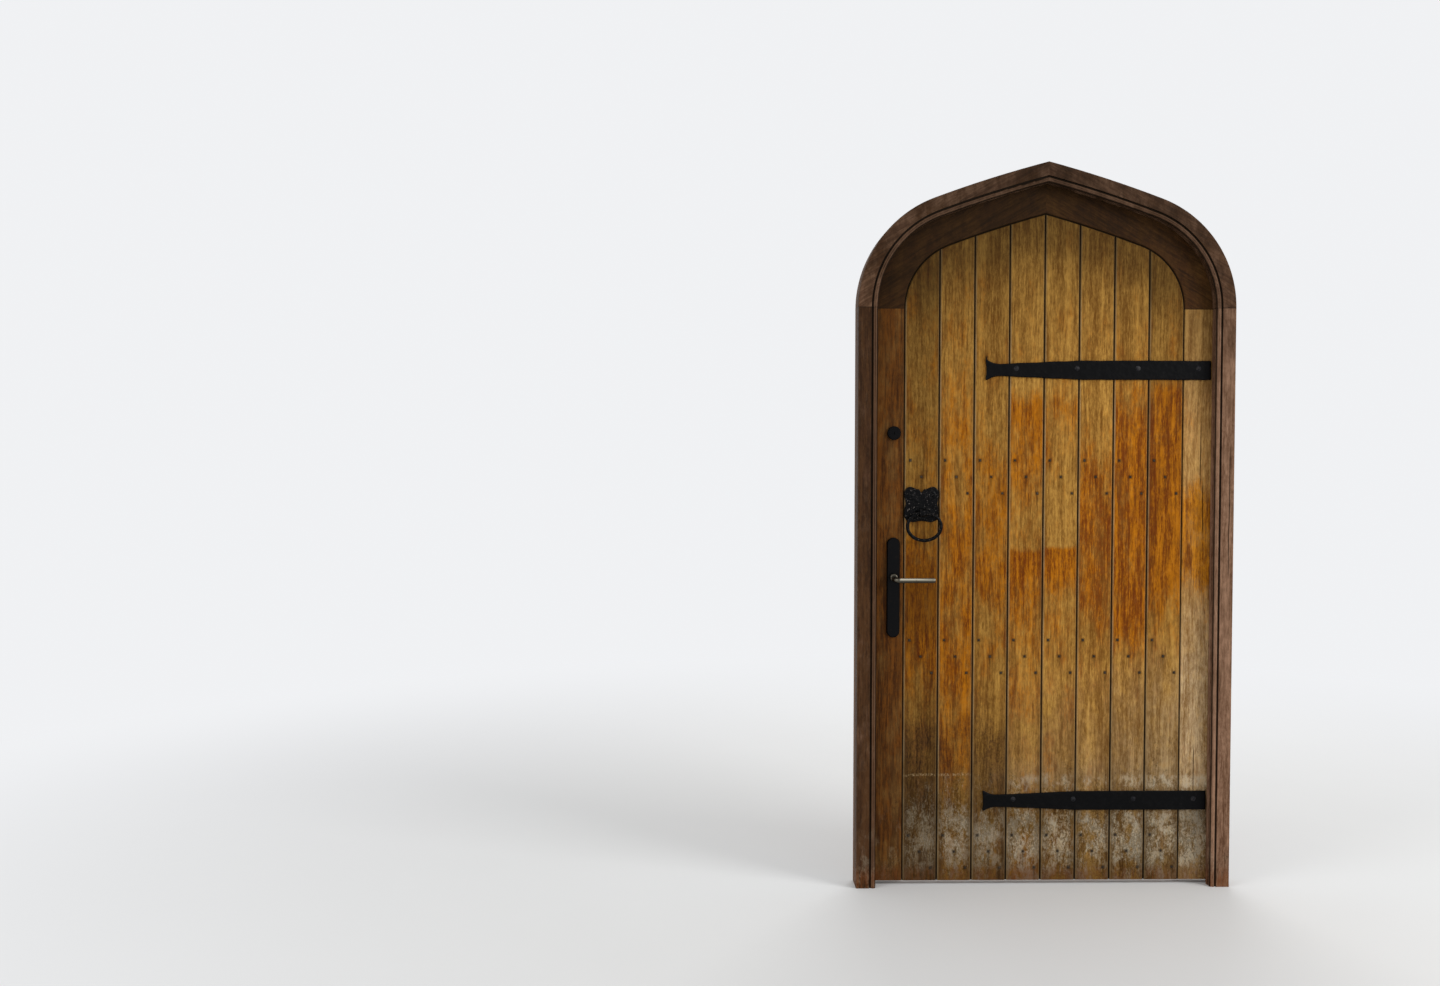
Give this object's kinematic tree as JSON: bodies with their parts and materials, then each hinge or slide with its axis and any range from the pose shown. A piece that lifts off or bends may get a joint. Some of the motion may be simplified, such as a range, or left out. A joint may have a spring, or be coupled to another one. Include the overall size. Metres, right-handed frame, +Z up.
{
  "type": "arched timber door",
  "caption": "Arched ledged and boarded timber door in its moulded timber frame, with iron straps, ring knocker, lever handle and night latch.",
  "frame": {"origin": "floor level under the middle of the leaf's width and thickness", "axes": "+X across the doorway towards the hinges, +Y inwards from the weather side, +Z up"},
  "size_m": [1.094, 0.1638, 2.1064],
  "materials": {
    "frame_timber": "weathered brown stain, worn to grey",
    "stile_timber": "worn brown varnish, bleached near the foot",
    "board_timber": "streaked orange-brown varnish, flaking to grey at the bottom",
    "ledge_timber": "plain brown varnish",
    "dowel_timber": "bare wood",
    "black_iron": "satin black paint over forged iron",
    "nail_iron": "dull dark iron",
    "hinge_steel": "dull steel",
    "screw_steel": "dull steel",
    "plate_black": "gloss black lacquer, worn at the rim",
    "lever_steel": "satin steel, darkened",
    "lock_steel": "plain steel",
    "lock_brass": "dull brass",
    "latch_enamel": "dark bronze enamel",
    "spring_steel": "drawn wire"
  },
  "bodies": {
    "frame": {"frame_jamb_left": "frame_timber", "frame_jamb_right": "frame_timber", "frame_head_left": "frame_timber", "frame_head_right": "frame_timber", "frame_dowels": "dowel_timber", "strike_plate": "lock_steel", "night_latch_keep": "latch_enamel", "frame_screws": "screw_steel", "hinge_frame_leaf_lower": "hinge_steel", "hinge_frame_leaf_middle": "hinge_steel", "hinge_frame_leaf_upper": "hinge_steel", "hinge_pins": "hinge_steel"},
    "leaf": {"board_1": "board_timber", "board_2": "board_timber", "board_3": "board_timber", "board_4": "board_timber", "board_5": "board_timber", "board_6": "board_timber", "board_7": "board_timber", "board_8": "board_timber", "board_nails": "nail_iron", "bottom_rail": "ledge_timber", "cylinder_ring": "plate_black", "door_screws": "screw_steel", "head_left": "stile_timber", "head_right": "stile_timber", "hinge_door_leaf_lower": "hinge_steel", "hinge_door_leaf_middle": "hinge_steel", "hinge_door_leaf_upper": "hinge_steel", "hinge_stile": "stile_timber", "inner_plate": "plate_black", "knocker_plate": "black_iron", "knocker_screws": "black_iron", "latch_case": "lock_steel", "latch_forend": "lock_steel", "latch_spring": "spring_steel", "latch_stile": "stile_timber", "lower_ledge": "ledge_timber", "night_cylinder": "plate_black", "night_latch_case": "latch_enamel", "outer_plate": "plate_black", "plate_screws": "screw_steel", "strap_bolts": "black_iron", "strap_lower": "black_iron", "strap_nuts": "black_iron", "strap_upper": "black_iron", "upper_ledge": "ledge_timber"},
    "handle": {"outer_lever": "lever_steel", "inner_lever": "lever_steel", "spindle": "lock_steel", "latch_follower": "lock_steel"},
    "latch": {"latch_bolt": "lock_brass"},
    "knocker": {"knocker_ring": "black_iron"},
    "night_knob": {"night_latch_knob": "latch_enamel"},
    "night_bolt": {"night_latch_bolt": "lock_brass"},
    "night_plug": {"cylinder_plug": "lock_brass", "drive_bar": "lock_brass"},
    "night_snib": {"night_latch_snib": "latch_enamel"}
  },
  "joints": [
    {"name": "leaf_swing", "type": "hinge", "parent": "frame", "child": "leaf", "pos_m": [0.5045, 0.0295, 0.892], "axis": [0, 0, -1], "range_deg": [0, 100]},
    {"name": "lever_turn", "type": "hinge", "parent": "leaf", "child": "handle", "pos_m": [-0.4385, 0, 0.907], "axis": [0, 1, 0], "range_deg": [0, 35], "stiffness_Nm_per_rad": 1.5, "springref_deg": -28.65},
    {"name": "latch_slide", "type": "slide", "parent": "leaf", "child": "latch", "axis": [1, 0, 0], "range_m": [0, 0.01], "deforming": ["latch_spring"]},
    {"name": "knocker_swing", "type": "hinge", "parent": "leaf", "child": "knocker", "pos_m": [-0.351, -0.0425, 1.0955], "axis": [-1, 0, 0], "range_deg": [-8, 110]},
    {"name": "night_knob_turn", "type": "hinge", "parent": "leaf", "child": "night_knob", "pos_m": [-0.438, 0, 1.326], "axis": [0, 1, 0], "range_deg": [0, 60], "stiffness_Nm_per_rad": 0.5, "springref_deg": -17.19},
    {"name": "night_bolt_slide", "type": "slide", "parent": "leaf", "child": "night_bolt", "axis": [1, 0, 0], "range_m": [0, 0.016]},
    {"name": "night_plug_turn", "type": "hinge", "parent": "leaf", "child": "night_plug", "pos_m": [-0.438, 0, 1.326], "axis": [0, 1, 0], "range_deg": [0, 60]},
    {"name": "snib_slide", "type": "slide", "parent": "leaf", "child": "night_snib", "axis": [0, 0, 1], "range_m": [0, 0.008]}
  ],
  "couplings": [
    {"joint": "latch_slide", "follows": "lever_turn", "m_per_rad": 0.01637},
    {"joint": "night_bolt_slide", "follows": "night_knob_turn", "m_per_rad": 0.01527},
    {"joint": "night_plug_turn", "follows": "night_knob_turn", "ratio": 1}
  ]
}
